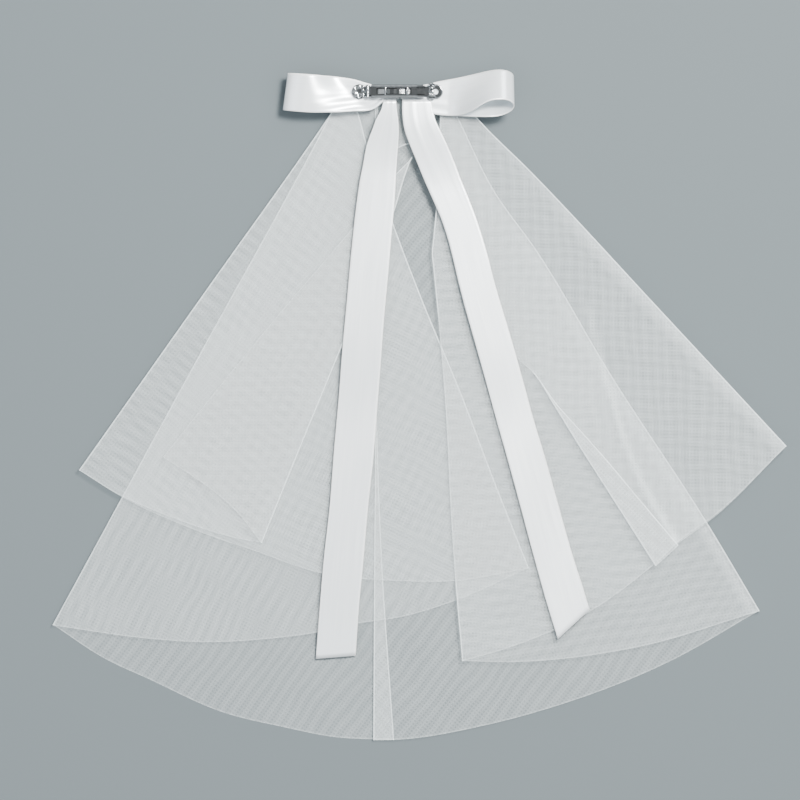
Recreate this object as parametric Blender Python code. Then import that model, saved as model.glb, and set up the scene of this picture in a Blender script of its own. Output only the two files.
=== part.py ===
"""A bridal bow veil lying flat: zigzag-folded tulle, a satin bow with two tails, and a steel barrette.

Metres, +Z up. +X runs across the veil and +Y points from the hem to the bow. Each piece is laid out from
the middle of the gathered edge, and the whole is then centred on the origin.
"""

import math

import bmesh
import bpy
import numpy as np
from mathutils import Vector

# Tulle
VEIL_WIDTH = 0.469
VEIL_DROP = 0.413
CLOTH_WALL = 0.001
CLEARANCE = 0.0003
PITCH = CLOTH_WALL + CLEARANCE
VEIL_ROWS = 18
FOLD_STEPS = 3
FOLD_STEP_SHARE = 0.01

# Ribbon
RIBBON_WIDTH = 0.025
RIBBON_WALL = 0.001
TAIL_DROP = 0.362
BOW_PINCH_WIDTH = 0.008
LOOP_LEFT_REACH = 0.0735
LOOP_RIGHT_REACH = 0.0730
LOOP_LEFT_THICKNESS = 0.012
LOOP_RIGHT_THICKNESS = 0.017
LOOP_LEFT_TWIST = -6.0
LOOP_RIGHT_TWIST = 38.0
LOOP_SLANT = 0.0032
LOOP_CUP = 0.0006

# Barrette
BARRETTE_LENGTH = 0.0582
BARRETTE_WIDTH = 0.0083
BARRETTE_SHIFT = -0.0016
BARRETTE_OFFSET = 0.0016
PLATE_WALL = 0.0008
RING_DIAMETER = 0.0094
RING_HOLE = 0.0036
HINGE_INSET = 0.0102
HINGE_PIN_RADIUS = 0.0005
BARREL_RADIUS = 0.0014
EAR_RADIUS = 0.0015
EAR_WALL = 0.0008
BARREL_WIDTH = 0.0050
BAR_LENGTH = 0.0362
BAR_LIFT = 0.0032
RIM_HEIGHT = 0.0009
RIM_WALL = 0.0008
SLOT_WIDTH = 0.0036
SLOT_MARGIN = 0.0035
WINDOW_LENGTH = 0.0075
SLOT_BRIDGE = 0.0014
TONGUE_LENGTH = 0.0050
TONGUE_WIDTH = 0.0036
SPRING_WIDTH = 0.0030
SPRING_WALL = 0.0005
SPRING_ARCH = 0.0016
PRONG_WALL = 0.0008
PRONG_LENGTH = 0.0052
PRONG_RISE = 0.0055
PRONG_FLARE = 0.0006

# Heights, each piece on what it lies on
BOW_LEVEL = 9
BOW_BOTTOM = BOW_LEVEL * PITCH
PLATE_BOTTOM = BOW_BOTTOM + 2 * (RIBBON_WALL + CLEARANCE)
PLATE_TOP = PLATE_BOTTOM + PLATE_WALL
BAR_BOTTOM = PLATE_TOP + BAR_LIFT

# Fold lines in the order of the cloth, from its left side edge to its right one. across is a share of
# VEIL_WIDTH from the middle of the gather, down is a share of VEIL_DROP, and each line is a smooth curve
# from the gather through its middle point to the hem.
# name, gather_across, middle_across, middle_down, hem_across, hem_down
FOLD_LINES = (
    ("left_side_edge", 0.071, -0.136, 0.303, -0.323, 0.560),
    ("left_flap_fold", 0.049, -0.070, 0.347, -0.188, 0.694),
    ("left_upper_fold", -0.077, -0.258, 0.291, -0.438, 0.580),
    ("left_middle_fold", -0.067, 0.048, 0.365, 0.176, 0.732),
    ("left_base_fold", -0.081, -0.278, 0.410, -0.475, 0.820),
    ("tuck_outer_fold", -0.025, -0.027, 0.511, -0.008, 1.000),
    ("tuck_inner_fold", -0.033, -0.036, 0.511, -0.037, 1.000),
    ("right_base_fold", 0.064, 0.262, 0.384, 0.491, 0.799),
    ("right_middle_fold", 0.055, 0.056, 0.438, 0.085, 0.876),
    ("right_upper_fold", 0.076, 0.304, 0.272, 0.527, 0.543),
    ("right_flap_fold", 0.059, 0.156, 0.365, 0.348, 0.729),
    ("right_side_edge", 0.063, 0.166, 0.376, 0.379, 0.697),
)

# Panels between neighbouring fold lines. Levels count layers up from the surface. A panel goes from its start
# level to its end level between the two shares of its width. hem_dip is how far the hem rises above a round
# arc, as a share of VEIL_DROP. A flap turned back only near the hem starts at first_row, a share of its length.
# name, start_level, end_level, change_from, change_to, cells, hem_dip, first_row
PANELS = (
    ("left_flap", 6, 6, 0.0, 1.0, 3, 0.043, 0.15),
    ("left_upper", 5, 5, 0.0, 1.0, 5, 0.008, 0.0),
    ("left_middle", 4, 4, 0.0, 1.0, 9, 0.015, 0.0),
    ("left_lower", 3, 3, 0.0, 1.0, 9, 0.023, 0.0),
    ("base_left", 0, 0, 0.0, 1.0, 9, 0.0, 0.0),
    ("tuck", 1, 1, 0.0, 1.0, 1, 0.0, 0.0),
    ("base_right", 2, 0, 0.10, 0.90, 14, 0.0, 0.0),
    ("right_lower", 3, 5, 0.05, 0.75, 7, 0.006, 0.0),
    ("right_middle", 6, 6, 0.0, 1.0, 9, 0.018, 0.0),
    ("right_upper", 7, 7, 0.0, 1.0, 5, 0.006, 0.0),
    ("right_flap", 8, 8, 0.0, 1.0, 1, 0.0, 0.70),
)
PANEL_START_LEVEL = 1
PANEL_FIRST_ROW = 7

# Ribbon tails, from the bow to the cut end. across and down are shares of TAIL_DROP from the middle of the
# gather, width is a share of RIBBON_WIDTH, level counts cloth layers up from the surface.
# down, across, width, level
LEFT_TAIL = (
    (0.004, -0.018, 0.32, 7),
    (0.046, -0.023, 0.55, 7),
    (0.088, -0.031, 0.80, 7),
    (0.190, -0.041, 0.93, 7),
    (0.325, -0.054, 1.00, 7),
    (0.450, -0.064, 1.00, 7),
    (0.560, -0.072, 1.00, 5),
    (0.716, -0.087, 1.00, 5),
    (0.868, -0.101, 1.00, 5),
    (0.965, -0.111, 1.00, 4),
    (0.996, -0.113, 1.00, 2),
)
RIGHT_TAIL = (
    (0.004, 0.020, 0.36, 8),
    (0.035, 0.033, 0.75, 8),
    (0.094, 0.055, 0.95, 8),
    (0.150, 0.075, 0.92, 8),
    (0.253, 0.117, 0.85, 8),
    (0.347, 0.138, 0.90, 8),
    (0.442, 0.166, 0.92, 8),
    (0.539, 0.195, 0.94, 7),
    (0.716, 0.245, 0.94, 7),
    (0.852, 0.284, 0.94, 7),
    (0.935, 0.308, 0.94, 7),
)
RIGHT_TAIL_CUT = 0.0118

# Bow loops, from the pinch to the end roll. out is a share of the reach, width a share of RIBBON_WIDTH,
# rise the shift of the middle towards +Y in shares of RIBBON_WIDTH.
# out, width, rise
LEFT_LOOP = (
    (0.00, 0.32, 0.064),
    (0.12, 0.36, 0.050),
    (0.22, 0.60, -0.060),
    (0.41, 0.82, -0.024),
    (0.69, 0.94, 0.012),
    (1.00, 0.94, 0.070),
)
RIGHT_LOOP = (
    (0.00, 0.32, 0.064),
    (0.12, 0.40, -0.010),
    (0.21, 0.68, -0.100),
    (0.32, 0.83, -0.100),
    (0.54, 0.98, -0.060),
    (1.00, 1.00, 0.070),
)
LOOP_ROWS = 12
ROLL_STEPS = 8
RIBBON_CELLS = 4

# name: (red, green, blue, roughness, metallic)
MATERIALS = {
    "cool_white_tulle": (0.80, 0.84, 0.85, 0.60, 0.0),
    "ivory_satin": (0.72, 0.76, 0.76, 0.30, 0.0),
    "bright_steel": (0.78, 0.79, 0.80, 0.18, 1.0),
}


def clear_scene():
    for item in list(bpy.data.objects):
        bpy.data.objects.remove(item)


def material(name):
    red, green, blue, roughness, metallic = MATERIALS[name]
    made = bpy.data.materials.get(name) or bpy.data.materials.new(name)
    made.use_nodes = True
    shader = made.node_tree.nodes["Principled BSDF"]
    shader.inputs["Base Color"].default_value = (red, green, blue, 1.0)
    shader.inputs["Roughness"].default_value = roughness
    shader.inputs["Metallic"].default_value = metallic
    made.diffuse_color = (red, green, blue, 1.0)
    return made


def add_object(name, mesh, finish, sharp_degrees=40.0):
    mesh.shade_smooth()
    mesh.set_sharp_from_angle(angle=math.radians(sharp_degrees))
    item = bpy.data.objects.new(name, mesh)
    mesh.materials.append(material(finish))
    bpy.context.scene.collection.objects.link(item)
    return item


def mix(first, second, share):
    return first + (second - first) * share


def ease(value, start, end):
    share = min(max((value - start) / (end - start), 0.0), 1.0)
    return share * share * (3.0 - 2.0 * share)


def through(first, middle, last, share):
    """The point at that share of a smooth curve through three points."""
    return (
        first * (1.0 - share) * (1.0 - 2.0 * share)
        + middle * 4.0 * share * (1.0 - share)
        + last * share * (2.0 * share - 1.0)
    )


def unit(vector):
    return vector / np.linalg.norm(vector)


def from_table(rows, column, key):
    """A column of the table, read at that value of its first column."""
    return float(np.interp(key, [row[0] for row in rows], [row[column] for row in rows]))


def wall_mesh(name, upper, lower, present):
    """A closed wall between two grids of points, over the cells that are present."""
    rows, columns = len(upper), len(upper[0])
    mesh = bmesh.new()
    top = {}
    bottom = {}
    for i in range(rows - 1):
        for j in range(columns - 1):
            if not present(i, j):
                continue
            cell = [(i, j), (i, j + 1), (i + 1, j + 1), (i + 1, j)]
            for key in cell:
                if key not in top:
                    top[key] = mesh.verts.new(upper[key[0]][key[1]])
                    bottom[key] = mesh.verts.new(lower[key[0]][key[1]])
            mesh.faces.new([top[key] for key in cell])
            mesh.faces.new([bottom[key] for key in reversed(cell)])
    partner = {top[key]: bottom[key] for key in top}
    open_edges = [e for e in mesh.edges if len(e.link_faces) == 1 and e.verts[0] in partner]
    for edge in open_edges:
        first, second = edge.verts
        mesh.faces.new((first, second, partner[second], partner[first]))
    bmesh.ops.recalc_face_normals(mesh, faces=mesh.faces)
    data = bpy.data.meshes.new(name)
    mesh.to_mesh(data)
    mesh.free()
    return data


# Tulle veil
def fold_points(share):
    """The plan points of every fold line at that share of its length."""
    points = []
    for _, gather_across, middle_across, middle_down, hem_across, hem_down in FOLD_LINES:
        gather = np.array((gather_across * VEIL_WIDTH, 0.0))
        middle = np.array((middle_across * VEIL_WIDTH, -middle_down * VEIL_DROP))
        hem = np.array((hem_across * VEIL_WIDTH, -hem_down * VEIL_DROP))
        points.append(through(gather, middle, hem, share))
    return points


def outward_directions(down_share):
    """At each fold line, the way square to it that points out of the fold."""
    points = fold_points(down_share)
    before = fold_points(down_share - FOLD_STEP_SHARE)
    after = fold_points(down_share + FOLD_STEP_SHARE)
    ways = []
    for index, here in enumerate(points):
        along = unit(after[index] - before[index])
        square = np.array((along[1], -along[0]))
        neighbours = points[max(index - 1, 0):index] + points[index + 1:index + 2]
        farthest = max(neighbours, key=lambda point: np.linalg.norm(here - point))
        ways.append(square * math.copysign(1.0, square @ (here - farthest)))
    return ways


def round_point(point):
    """Distance from the gather's middle, and angle from straight down."""
    return np.array((math.hypot(*point), math.atan2(point[0], -point[1])))


def panel_point(first, second, share, down_share, hem_dip):
    """A point of a panel, straight across at the gather and on a round arc at the hem."""
    straight = mix(first, second, share)
    reach, angle = mix(round_point(first), round_point(second), share)
    reach -= hem_dip * VEIL_DROP * 4.0 * share * (1.0 - share)
    arc = np.array((reach * math.sin(angle), -reach * math.cos(angle)))
    return mix(straight, arc, down_share)


def veil_row(down_share):
    """Both faces of the cloth along one row, from its left side edge to its right one."""
    depth = CLOTH_WALL + CLEARANCE / 2.0
    lines = fold_points(down_share)
    ways = outward_directions(down_share)
    ends = [line - way * depth for line, way in zip(lines, ways)]
    ends[0], ends[-1] = lines[0], lines[-1]
    upper_row = []
    lower_row = []
    facing = 1.0
    for index, (_, start_level, end_level, change_from, change_to, cells, hem_dip, _) in enumerate(PANELS):
        for step in range(cells + 1):
            share = step / cells
            plan = panel_point(ends[index], ends[index + 1], share, down_share, hem_dip)
            settled = min(max((share - change_from) / (change_to - change_from), 0.0), 1.0)
            middle = mix(start_level, end_level, settled) * PITCH + CLOTH_WALL / 2.0
            half = facing * CLOTH_WALL / 2.0
            upper_row.append((plan[0], plan[1], middle + half))
            lower_row.append((plan[0], plan[1], middle - half))
        if index + 1 == len(PANELS):
            break
        rise = (PANELS[index + 1][PANEL_START_LEVEL] - end_level) * PITCH
        centre = end_level * PITCH + (CLOTH_WALL + rise) / 2.0
        sides = (upper_row, lower_row) if facing * rise < 0.0 else (lower_row, upper_row)
        for side, growth in zip(sides, (CLOTH_WALL / 2.0, -CLOTH_WALL / 2.0)):
            deep = depth - CLOTH_WALL / 2.0 + growth
            tall = abs(rise) / 2.0 + growth
            for step in range(1, FOLD_STEPS):
                angle = math.pi * (step / FOLD_STEPS - 0.5)
                plan = ends[index + 1] + ways[index + 1] * deep * math.cos(angle)
                height = centre + math.copysign(tall, rise) * math.sin(angle)
                side.append((plan[0], plan[1], height))
        facing = -facing
    return upper_row, lower_row


def veil_first_shares():
    """For each column of cells, the share of the length where the cloth there starts."""
    starts = []
    for index, (*_, cells, _, first_row) in enumerate(PANELS):
        starts += [first_row] * cells
        if index + 1 < len(PANELS):
            starts += [max(first_row, PANELS[index + 1][PANEL_FIRST_ROW])] * FOLD_STEPS
    return starts


def tulle_veil():
    shares = [row / VEIL_ROWS for row in range(VEIL_ROWS + 1)]
    rows = [veil_row(share) for share in shares]
    starts = veil_first_shares()
    mesh = wall_mesh(
        "tulle_veil",
        [row[0] for row in rows],
        [row[1] for row in rows],
        lambda i, j: shares[i] >= starts[j],
    )
    return add_object("tulle_veil", mesh, "cool_white_tulle", 60.0)


# Ribbon tails
def tail(name, stations, cut):
    """A flat ribbon laid down over the cloth, its cut end slanted by the given length."""
    middles = [np.array((across * TAIL_DROP, -down * TAIL_DROP)) for down, across, _, _ in stations]
    upper = []
    lower = []
    for index, (_, _, width, level) in enumerate(stations):
        before = middles[max(index - 1, 0)]
        after = middles[min(index + 1, len(middles) - 1)]
        along = unit(after - before)
        across = np.array((-along[1], along[0]))
        slant = cut if index + 1 == len(stations) else 0.0
        high = []
        low = []
        for cell in range(RIBBON_CELLS + 1):
            share = cell / RIBBON_CELLS - 0.5
            plan = middles[index] + across * share * width * RIBBON_WIDTH - along * slant * share
            height = level * PITCH
            high.append((plan[0], plan[1], height + RIBBON_WALL))
            low.append((plan[0], plan[1], height))
        upper.append(high)
        lower.append(low)
    mesh = wall_mesh(name, upper, lower, lambda i, j: True)
    return add_object(name, mesh, "ivory_satin")


# Bow loops
def loop_path(reach, thickness):
    """The middle of the ribbon from the pinch out below, round the end roll and back above.

    Each step has its way out from the pinch, its height above the loop's middle and its height's middle.
    """
    radius = (thickness - RIBBON_WALL) / 2.0
    turn = reach - RIBBON_WALL / 2.0 - radius
    pinch = (RIBBON_WALL + CLEARANCE) / 2.0
    under_barrette = BARRETTE_LENGTH / 2.0 + abs(BARRETTE_SHIFT)
    start = RIBBON_WALL / 2.0

    def half_height(out):
        return mix(pinch, radius, ease(out, under_barrette, turn))

    outs = [mix(start, turn, row / LOOP_ROWS) for row in range(LOOP_ROWS + 1)]
    path = [(out, -half_height(out)) for out in outs]
    for step in range(1, ROLL_STEPS):
        angle = math.pi * (step / ROLL_STEPS - 0.5)
        path.append((turn + radius * math.cos(angle), radius * math.sin(angle)))
    path += [(out, half_height(out)) for out in reversed(outs)]
    return path


def loop_offsets(path):
    """The way out of the ribbon's face at each step of the path."""
    ways = []
    for index in range(len(path)):
        before = np.array(path[max(index - 1, 0)])
        after = np.array(path[min(index + 1, len(path) - 1)])
        along = unit(after - before)
        ways.append(np.array((along[1], -along[0])))
    return ways


def bow_loop(name, side, reach, thickness, twist, slant, sections):
    """One loop of the bow on the side given as -1 or 1, twisted about X towards its end."""
    path = loop_path(reach, thickness)
    ways = loop_offsets(path)
    level_middle = BOW_BOTTOM + RIBBON_WALL + CLEARANCE / 2.0
    under_barrette = BARRETTE_LENGTH / 2.0 + abs(BARRETTE_SHIFT)
    end_tilt = math.radians(abs(twist))
    end_drop = RIBBON_WIDTH / 2.0 * math.sin(end_tilt) + thickness / 2.0 * math.cos(end_tilt)
    end_middle = max(level_middle, end_drop + 2.0 * CLOTH_WALL)
    outer = []
    inner = []
    for (out, height), way in zip(path, ways):
        share = out / reach
        width = from_table(sections, 1, share) * RIBBON_WIDTH
        rise = from_table(sections, 2, share) * RIBBON_WIDTH
        eased = ease(out, under_barrette, 0.8 * reach)
        tilt = math.radians(twist) * eased
        middle = mix(level_middle, end_middle, eased)
        rows = ([], [])
        for cell in range(RIBBON_CELLS + 1):
            across = cell / RIBBON_CELLS - 0.5
            cup = LOOP_CUP * (1.0 - 4.0 * across * across) * eased
            for row, face in zip(rows, (1.0, -1.0)):
                shift = face * RIBBON_WALL / 2.0 + cup
                x = out + way[0] * shift - slant * across * eased
                y = across * width
                z = height + way[1] * shift
                row.append((
                    side * x,
                    rise + y * math.cos(tilt) + z * math.sin(tilt),
                    middle + z * math.cos(tilt) - y * math.sin(tilt),
                ))
        outer.append(rows[0])
        inner.append(rows[1])
    mesh = wall_mesh(name, outer, inner, lambda i, j: True)
    return add_object(name, mesh, "ivory_satin")


# Barrette
def block_mesh(name, low, high):
    mesh = bmesh.new()
    bmesh.ops.create_cube(mesh, size=1.0)
    size = Vector(high) - Vector(low)
    middle = (Vector(high) + Vector(low)) / 2.0
    bmesh.ops.scale(mesh, vec=size, verts=mesh.verts)
    bmesh.ops.translate(mesh, vec=middle, verts=mesh.verts)
    data = bpy.data.meshes.new(name)
    mesh.to_mesh(data)
    mesh.free()
    return data


def drum_mesh(name, radius, low, high, axis="Z", segments=20):
    """A cylinder between two points on its axis, which is Z or Y."""
    mesh = bmesh.new()
    low, high = Vector(low), Vector(high)
    bmesh.ops.create_cone(
        mesh, cap_ends=True, segments=segments, radius1=radius, radius2=radius, depth=(high - low).length
    )
    if axis == "Y":
        turn = Vector((0.0, 0.0, 1.0)).rotation_difference(Vector((0.0, 1.0, 0.0))).to_matrix()
        bmesh.ops.rotate(mesh, matrix=turn, verts=mesh.verts)
    bmesh.ops.translate(mesh, vec=(low + high) / 2.0, verts=mesh.verts)
    data = bpy.data.meshes.new(name)
    mesh.to_mesh(data)
    mesh.free()
    return data


def combine(item, mesh, operation):
    """Joins the helper shape to the object, or cuts it out."""
    helper = bpy.data.objects.new(mesh.name, mesh)
    bpy.context.scene.collection.objects.link(helper)
    helper.hide_render = True
    helper.display_type = "WIRE"
    helper.parent = item
    change = item.modifiers.new(mesh.name, "BOOLEAN")
    change.object = helper
    change.operation = operation
    change.solver = "EXACT"


def barrette_ends():
    left = BARRETTE_SHIFT - BARRETTE_LENGTH / 2.0
    return left, left + BARRETTE_LENGTH


def hinge_place():
    """The hinge axis in the plan, and its height."""
    return barrette_ends()[0] + HINGE_INSET, BAR_BOTTOM + PLATE_WALL / 2.0


def barrette_base():
    """The back plate with a ring at each end, the hinge ears with their pin, and the two clasp prongs."""
    left, right = barrette_ends()
    hinge_x, hinge_z = hinge_place()
    ring = RING_DIAMETER / 2.0
    y = BARRETTE_OFFSET
    half = BARRETTE_WIDTH / 2.0 - RIM_WALL
    plate = block_mesh(
        "barrette_base", (left + ring, y - half, PLATE_BOTTOM), (right - ring, y + half, PLATE_TOP)
    )
    base = add_object("barrette_base", plate, "bright_steel", 30.0)
    for end, x in (("left", left + ring), ("right", right - ring)):
        low, high = (x, y, PLATE_BOTTOM), (x, y, PLATE_TOP)
        combine(base, drum_mesh(f"ring_{end}", ring, low, high, segments=28), "UNION")
    for end, x in (("left", left + ring), ("right", right - ring)):
        low, high = (x, y, PLATE_BOTTOM - PLATE_WALL), (x, y, PLATE_TOP + PLATE_WALL)
        combine(base, drum_mesh(f"hole_{end}", RING_HOLE / 2.0, low, high), "DIFFERENCE")
    inner = BARREL_WIDTH / 2.0 + CLEARANCE
    for end, side in (("low", -1.0), ("high", 1.0)):
        near, far = sorted((y + side * inner, y + side * (inner + EAR_WALL)))
        foot = block_mesh(
            f"ear_{end}",
            (hinge_x - EAR_RADIUS, near, PLATE_TOP - PLATE_WALL / 2.0),
            (hinge_x + EAR_RADIUS, far, hinge_z),
        )
        combine(base, foot, "UNION")
        top = drum_mesh(f"ear_round_{end}", EAR_RADIUS, (hinge_x, near, hinge_z), (hinge_x, far, hinge_z), "Y")
        combine(base, top, "UNION")
    reach = inner + EAR_WALL / 2.0
    pin = drum_mesh(
        "hinge_pin", HINGE_PIN_RADIUS, (hinge_x, y - reach, hinge_z), (hinge_x, y + reach, hinge_z), "Y", 12
    )
    combine(base, pin, "UNION")
    for end, side in (("low", -1.0), ("high", 1.0)):
        combine(base, prong_mesh(f"prong_{end}", side), "UNION")
    return base


def prong_mesh(name, side):
    """A clasp prong beside the bar's tongue, its tip flared outwards, on the side given as -1 or 1."""
    start = hinge_place()[0] + BAR_LENGTH - TONGUE_LENGTH + CLEARANCE
    inner = TONGUE_WIDTH / 2.0 + CLEARANCE
    foot = PLATE_TOP - PLATE_WALL / 2.0
    profile = (
        (inner, foot),
        (inner + PRONG_WALL, foot),
        (inner + PRONG_WALL, PLATE_TOP + 0.7 * PRONG_RISE),
        (inner + PRONG_WALL + PRONG_FLARE, PLATE_TOP + PRONG_RISE),
        (inner + PRONG_FLARE, PLATE_TOP + PRONG_RISE),
        (inner, PLATE_TOP + 0.7 * PRONG_RISE),
    )
    mesh = bmesh.new()
    corners = [mesh.verts.new((start, BARRETTE_OFFSET + side * out, z)) for out, z in profile]
    face = mesh.faces.new(corners)
    made = bmesh.ops.extrude_face_region(mesh, geom=[face])["geom"]
    moved = [item for item in made if isinstance(item, bmesh.types.BMVert)]
    bmesh.ops.translate(mesh, vec=(PRONG_LENGTH, 0.0, 0.0), verts=moved)
    bmesh.ops.recalc_face_normals(mesh, faces=mesh.faces)
    data = bpy.data.meshes.new(name)
    mesh.to_mesh(data)
    mesh.free()
    return data


def locking_bar():
    """The channel bar that hinges up: a slotted floor, two rims, a hinge barrel and a tongue for the clasp."""
    hinge_x, hinge_z = hinge_place()
    y = BARRETTE_OFFSET
    start = hinge_x + EAR_RADIUS + 2.0 * CLEARANCE
    end = hinge_x + BAR_LENGTH
    shoulder = end - TONGUE_LENGTH
    half = BARRETTE_WIDTH / 2.0
    top = BAR_BOTTOM + PLATE_WALL
    frame = hinge_x, y, hinge_z
    floor = block_mesh("locking_bar", (start, y - half, BAR_BOTTOM), (shoulder, y + half, top))
    bar = add_object("locking_bar", floor, "bright_steel", 30.0)
    for end_name, side in (("low", -1.0), ("high", 1.0)):
        near, far = sorted((y + side * half, y + side * (half - RIM_WALL)))
        rim = block_mesh(f"rim_{end_name}", (start, near, BAR_BOTTOM), (shoulder, far, top + RIM_HEIGHT))
        combine(bar, rim, "UNION")
    tongue = block_mesh(
        "tongue",
        (shoulder - RIM_WALL, y - TONGUE_WIDTH / 2.0, BAR_BOTTOM),
        (end, y + TONGUE_WIDTH / 2.0, top),
    )
    combine(bar, tongue, "UNION")
    neck_half = BARREL_WIDTH / 2.0
    neck = block_mesh("neck", (hinge_x, y - neck_half, BAR_BOTTOM), (start + RIM_WALL, y + neck_half, top))
    combine(bar, neck, "UNION")
    low, high = (hinge_x, y - neck_half, hinge_z), (hinge_x, y + neck_half, hinge_z)
    combine(bar, drum_mesh("barrel", BARREL_RADIUS, low, high, "Y"), "UNION")
    low = (hinge_x, y - BARRETTE_WIDTH, hinge_z)
    high = (hinge_x, y + BARRETTE_WIDTH, hinge_z)
    combine(bar, drum_mesh("bore", HINGE_PIN_RADIUS + CLEARANCE, low, high, "Y", 12), "DIFFERENCE")
    window_start = shoulder - SLOT_MARGIN - WINDOW_LENGTH
    spans = (
        ("slot", start + SLOT_MARGIN, window_start - SLOT_BRIDGE),
        ("window", window_start, shoulder - SLOT_MARGIN),
    )
    for span, low_x, high_x in spans:
        cut = block_mesh(
            span,
            (low_x, y - SLOT_WIDTH / 2.0, BAR_BOTTOM - PLATE_WALL),
            (high_x, y + SLOT_WIDTH / 2.0, top + PLATE_WALL),
        )
        combine(bar, cut, "DIFFERENCE")
    return bar, frame


def spring_strip():
    """The thin strip arched between the hinge and the clasp, its ends on the back plate."""
    hinge_x = hinge_place()[0]
    start = hinge_x + EAR_RADIUS + 2.0 * CLEARANCE
    end = hinge_x + BAR_LENGTH - TONGUE_LENGTH - CLEARANCE
    steps = 12
    upper = []
    lower = []
    for step in range(steps + 1):
        share = step / steps
        x = mix(start, end, share)
        z = PLATE_TOP + CLEARANCE + SPRING_ARCH * math.sin(math.pi * share) ** 2
        edges = (BARRETTE_OFFSET - SPRING_WIDTH / 2.0, BARRETTE_OFFSET + SPRING_WIDTH / 2.0)
        upper.append([(x, y, z + SPRING_WALL) for y in edges])
        lower.append([(x, y, z) for y in edges])
    mesh = wall_mesh("spring_strip", upper, lower, lambda i, j: True)
    return add_object("spring_strip", mesh, "bright_steel", 30.0)


def set_origin(item, place):
    """Moves the object's origin, and its helpers' places with it, leaving the shape where it is."""
    for each in (item, *item.children):
        for vertex in each.data.vertices:
            vertex.co -= Vector(place)
    item.location = place


def centre_on_origin(items):
    """Stands all pieces in one frame, with the origin below the middle of their box."""
    points = [item.matrix_world @ vertex.co for item in items for vertex in item.data.vertices]
    low = Vector([min(point[axis] for point in points) for axis in range(3)])
    high = Vector([max(point[axis] for point in points) for axis in range(3)])
    frame = bpy.data.objects.new("veil_frame", None)
    bpy.context.scene.collection.objects.link(frame)
    frame.location = (-(low.x + high.x) / 2.0, -(low.y + high.y) / 2.0, -low.z)
    for item in items:
        item.parent = frame


def main():
    clear_scene()
    bar, hinge = locking_bar()
    items = [
        tulle_veil(),
        tail("tail_left", LEFT_TAIL, 0.0),
        tail("tail_right", RIGHT_TAIL, RIGHT_TAIL_CUT),
        bow_loop(
            "bow_loop_left", -1.0, LOOP_LEFT_REACH, LOOP_LEFT_THICKNESS, LOOP_LEFT_TWIST, LOOP_SLANT, LEFT_LOOP
        ),
        bow_loop(
            "bow_loop_right", 1.0, LOOP_RIGHT_REACH, LOOP_RIGHT_THICKNESS, LOOP_RIGHT_TWIST, 0.0, RIGHT_LOOP
        ),
        barrette_base(),
        spring_strip(),
        bar,
    ]
    set_origin(bar, hinge)
    bpy.context.view_layer.update()
    centre_on_origin(items)
    bpy.context.view_layer.update()


main()
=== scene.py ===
"""A bridal bow veil lying flat: zigzag-folded tulle, a satin bow with two tails, and a steel barrette.

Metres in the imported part's frame: +X across the veil, +Y from the hem to the bow, +Z up from the floor.
"""

import math

import bmesh
import bpy
import numpy as np
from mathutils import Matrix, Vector


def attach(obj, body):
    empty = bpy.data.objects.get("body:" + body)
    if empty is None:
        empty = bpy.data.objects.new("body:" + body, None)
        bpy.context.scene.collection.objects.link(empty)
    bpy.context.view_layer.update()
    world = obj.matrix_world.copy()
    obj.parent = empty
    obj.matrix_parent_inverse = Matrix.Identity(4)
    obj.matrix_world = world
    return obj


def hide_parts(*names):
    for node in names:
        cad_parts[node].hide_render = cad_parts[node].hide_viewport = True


MM = 0.001

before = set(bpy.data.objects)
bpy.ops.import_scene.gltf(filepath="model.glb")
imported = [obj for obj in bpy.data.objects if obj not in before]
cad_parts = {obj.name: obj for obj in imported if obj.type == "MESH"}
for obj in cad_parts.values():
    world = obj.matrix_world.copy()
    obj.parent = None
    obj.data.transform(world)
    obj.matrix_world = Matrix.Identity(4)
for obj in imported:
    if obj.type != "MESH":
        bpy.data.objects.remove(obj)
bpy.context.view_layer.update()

# Camera: straight above the middle of the picture, far enough off that the raised bow keeps its place.
VIEW_MIDDLE = (-12.2 * MM, 3.4 * MM)
VIEW_WIDTH = 512 * MM
VIEW_LENS = 200.0
VIEW_SENSOR = 36.0
VIEW_LEVEL = 6 * MM
bpy.ops.object.camera_add()
camera = bpy.context.object
camera.name = "camera_above"
camera.data.lens = VIEW_LENS
camera.data.sensor_width = VIEW_SENSOR
camera.location = (*VIEW_MIDDLE, VIEW_LEVEL + VIEW_WIDTH * VIEW_LENS / VIEW_SENSOR)
camera.rotation_euler = (0.0, 0.0, 0.0)
bpy.context.scene.camera = camera

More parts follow.
